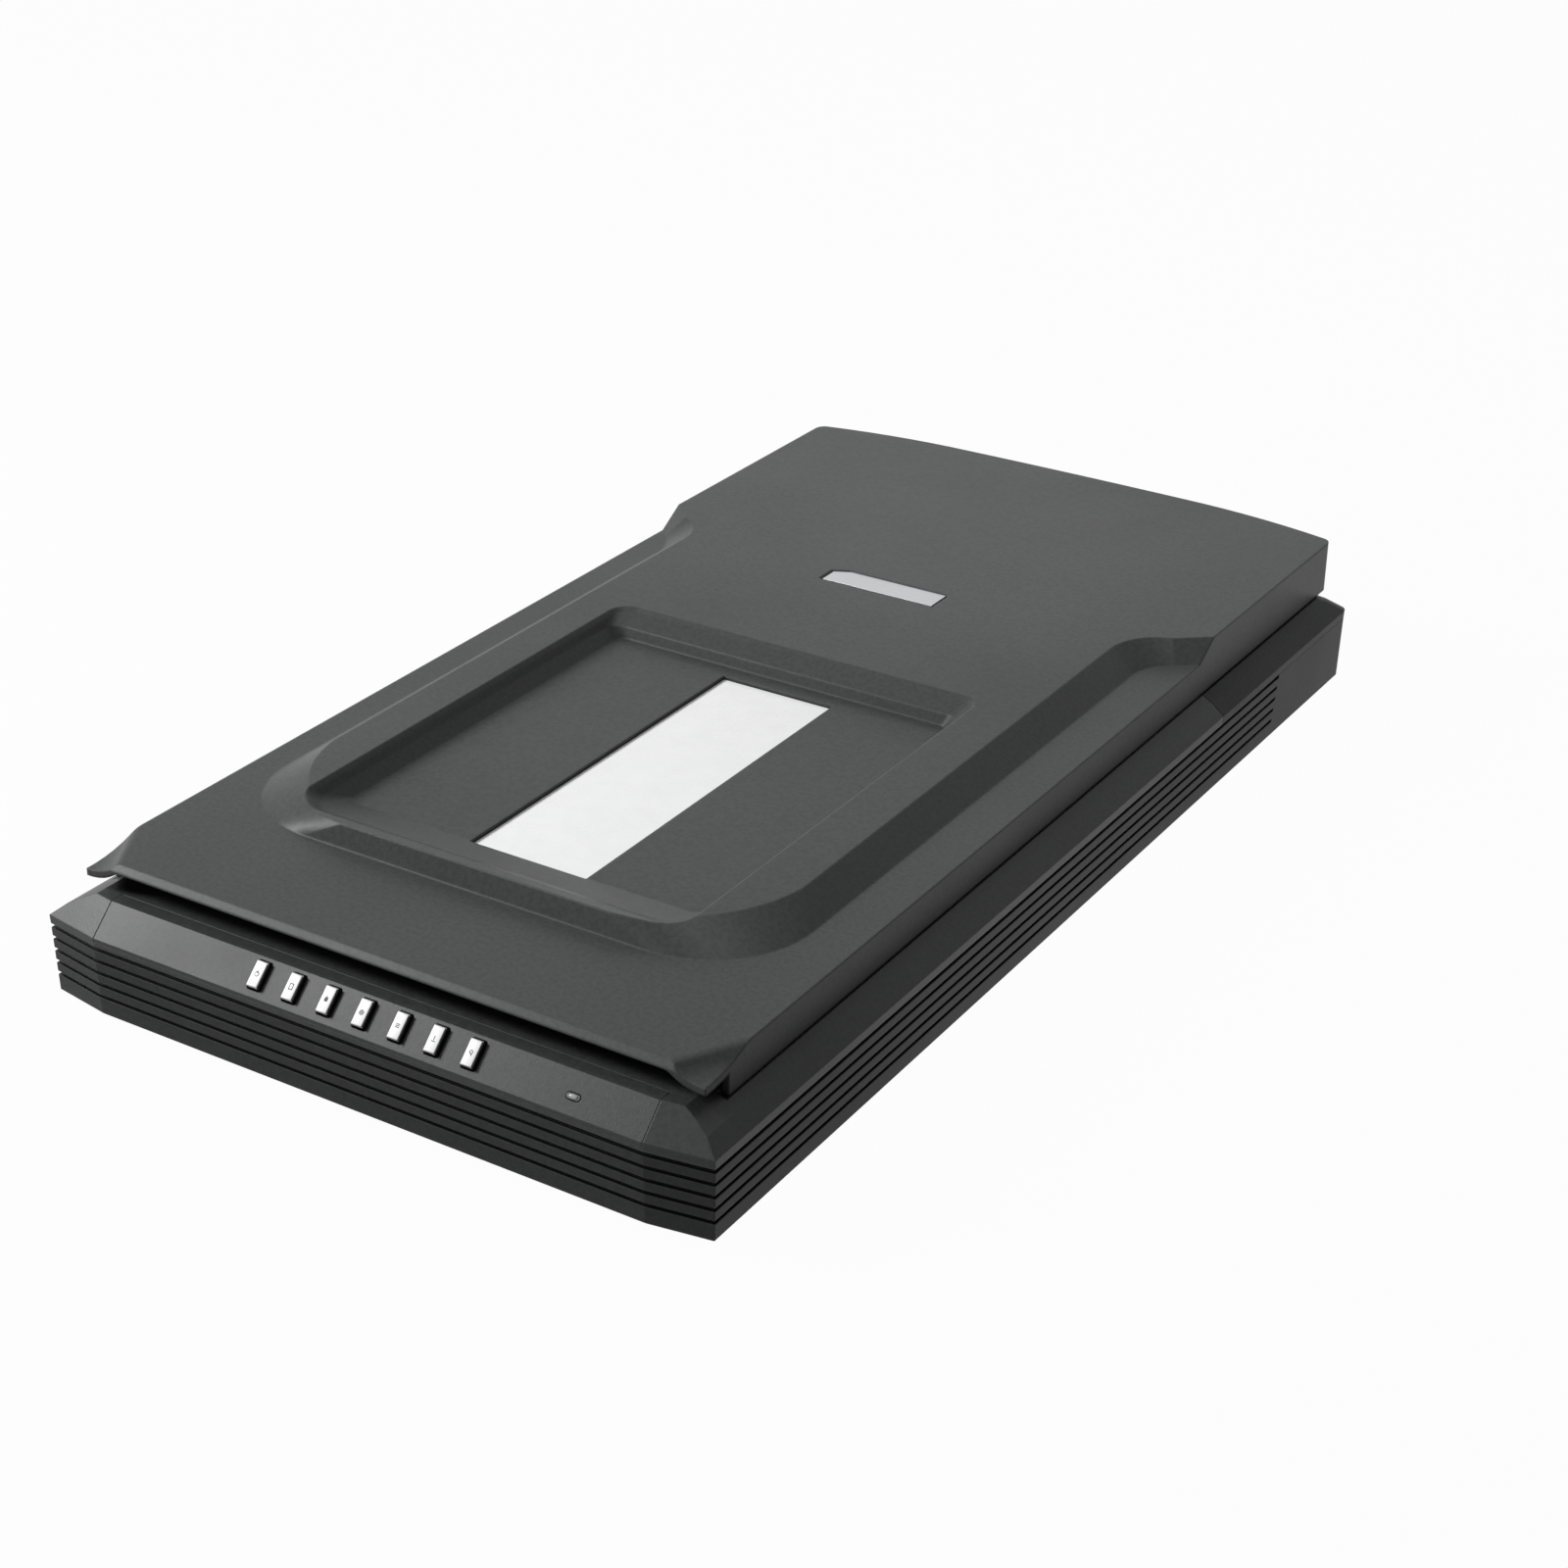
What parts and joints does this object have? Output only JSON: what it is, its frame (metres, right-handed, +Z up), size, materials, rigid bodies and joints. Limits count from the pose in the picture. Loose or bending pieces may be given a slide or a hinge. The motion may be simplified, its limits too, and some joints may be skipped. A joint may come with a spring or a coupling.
{
  "type": "flatbed scanner",
  "caption": "Flatbed scanner: grooved base with a sloped button panel, document glass, driven scan carriage, and a lifting hinged lid with a sunk tray and an opal light strip.",
  "frame": {"origin": "on the floor under the middle of the footprint", "axes": "+X to the user's right, +Y to the back, +Z up"},
  "size_m": [0.248, 0.457, 0.057],
  "materials": {
    "charcoal_case": "fine grained",
    "charcoal_lid": "fine grained",
    "black_plastic": "matte",
    "button_white": "satin",
    "opal_white": "opal satin",
    "clear_plastic": "clear",
    "float_glass": "polished",
    "white_foam": "matte foam and film",
    "zinc_steel": "zinc plated",
    "bright_steel": "ground",
    "bronze": "sintered",
    "gear_nylon": "natural nylon",
    "belt_rubber": "matte",
    "board_green": "solder mask",
    "lamp_glass": "frosted",
    "mirror_glass": "first surface",
    "nameplate_silver": "brushed",
    "ribbon": "flat film"
  },
  "bodies": {
    "base": {"bottom_case": "charcoal_case", "button_board": "board_green", "calibration_strip": "white_foam", "case_screws": "bright_steel", "control_panel": "charcoal_case", "dc_jack": "black_plastic", "drive_axle": "bright_steel", "drive_belt": "belt_rubber", "flat_cable": "ribbon", "guide_rod": "bright_steel", "idler_bracket": "zinc_steel", "idler_spring": "bright_steel", "main_board": "board_green", "motor_bracket": "zinc_steel", "platen_glass": "float_glass", "rear_cover": "charcoal_case", "rod_clips": "black_plastic", "rubber_feet": "belt_rubber", "side_rail": "zinc_steel", "status_light": "clear_plastic", "stepper_motor": "bright_steel", "top_frame": "charcoal_case", "usb_socket": "bright_steel"},
    "hinge_posts": {"hinge_post_left": "black_plastic", "hinge_post_right": "black_plastic"},
    "lid": {"lid_shell": "charcoal_lid", "lid_inner_panel": "black_plastic", "lid_screws": "bright_steel", "document_pad": "white_foam", "lid_bumpers": "belt_rubber", "light_window": "opal_white", "light_guide": "clear_plastic", "film_lamp": "lamp_glass", "film_lamp_holders": "black_plastic", "lamp_driver_board": "board_green", "nameplate": "nameplate_silver", "hinge_bracket_left": "zinc_steel", "hinge_bracket_right": "zinc_steel", "hinge_pins": "bright_steel"},
    "carriage": {"carriage_housing": "black_plastic", "carriage_bushes": "bronze", "carriage_mirrors": "mirror_glass", "scan_lamp": "lamp_glass", "scan_lamp_caps": "black_plastic", "lamp_reflector": "zinc_steel", "lens": "black_plastic", "sensor_board": "board_green", "slide_pad": "black_plastic", "belt_clamp": "black_plastic"},
    "drive_wheel": {"drive_gear": "gear_nylon"},
    "idler": {"idler_pulley": "black_plastic"},
    "motor_shaft": {"motor_pinion": "gear_nylon"},
    "button_1": {"button_1": "button_white"},
    "button_2": {"button_2": "button_white"},
    "button_3": {"button_3": "button_white"},
    "button_4": {"button_4": "button_white"},
    "button_5": {"button_5": "button_white"},
    "button_6": {"button_6": "button_white"},
    "button_7": {"button_7": "button_white"}
  },
  "joints": [
    {"name": "hinge_lift", "type": "slide", "parent": "base", "child": "hinge_posts", "axis": [0, 0, 1], "range_m": [0, 0.012]},
    {"name": "lid_hinge", "type": "hinge", "parent": "hinge_posts", "child": "lid", "pos_m": [0, 0.2225, 0.043], "axis": [-1, 0, 0], "range_deg": [0, 80]},
    {"name": "carriage_slide", "type": "slide", "parent": "base", "child": "carriage", "axis": [0, 1, 0], "range_m": [0, 0.298], "deforming": ["flat_cable"]},
    {"name": "drive_wheel_spin", "type": "hinge", "parent": "base", "child": "drive_wheel", "pos_m": [0, 0.1755, 0.0105], "axis": [0, 0, -1], "range_deg": [-1, 2628.8]},
    {"name": "idler_spin", "type": "hinge", "parent": "base", "child": "idler", "pos_m": [0, -0.2075, 0.0105], "axis": [0, 0, -1], "range_deg": [-1, 2628.8]},
    {"name": "motor_shaft_spin", "type": "hinge", "parent": "base", "child": "motor_shaft", "pos_m": [0.0256, 0.1755, 0.0152], "axis": [0, 0, 1], "range_deg": [-1, 7884.4]},
    {"name": "button_1_press", "type": "slide", "parent": "base", "child": "button_1", "axis": [0, 0.6873, -0.7264], "range_m": [0, 0.0007], "stiffness_N_per_m": 500},
    {"name": "button_2_press", "type": "slide", "parent": "base", "child": "button_2", "axis": [0, 0.6873, -0.7264], "range_m": [0, 0.0007], "stiffness_N_per_m": 500},
    {"name": "button_3_press", "type": "slide", "parent": "base", "child": "button_3", "axis": [0, 0.6873, -0.7264], "range_m": [0, 0.0007], "stiffness_N_per_m": 500},
    {"name": "button_4_press", "type": "slide", "parent": "base", "child": "button_4", "axis": [0, 0.6873, -0.7264], "range_m": [0, 0.0007], "stiffness_N_per_m": 500},
    {"name": "button_5_press", "type": "slide", "parent": "base", "child": "button_5", "axis": [0, 0.6873, -0.7264], "range_m": [0, 0.0007], "stiffness_N_per_m": 500},
    {"name": "button_6_press", "type": "slide", "parent": "base", "child": "button_6", "axis": [0, 0.6873, -0.7264], "range_m": [0, 0.0007], "stiffness_N_per_m": 500},
    {"name": "button_7_press", "type": "slide", "parent": "base", "child": "button_7", "axis": [0, 0.6873, -0.7264], "range_m": [0, 0.0007], "stiffness_N_per_m": 500}
  ],
  "couplings": [
    {"joint": "drive_wheel_spin", "follows": "carriage_slide", "rad_per_m": 153.85},
    {"joint": "idler_spin", "follows": "carriage_slide", "rad_per_m": 153.85},
    {"joint": "motor_shaft_spin", "follows": "carriage_slide", "rad_per_m": 461.54}
  ]
}
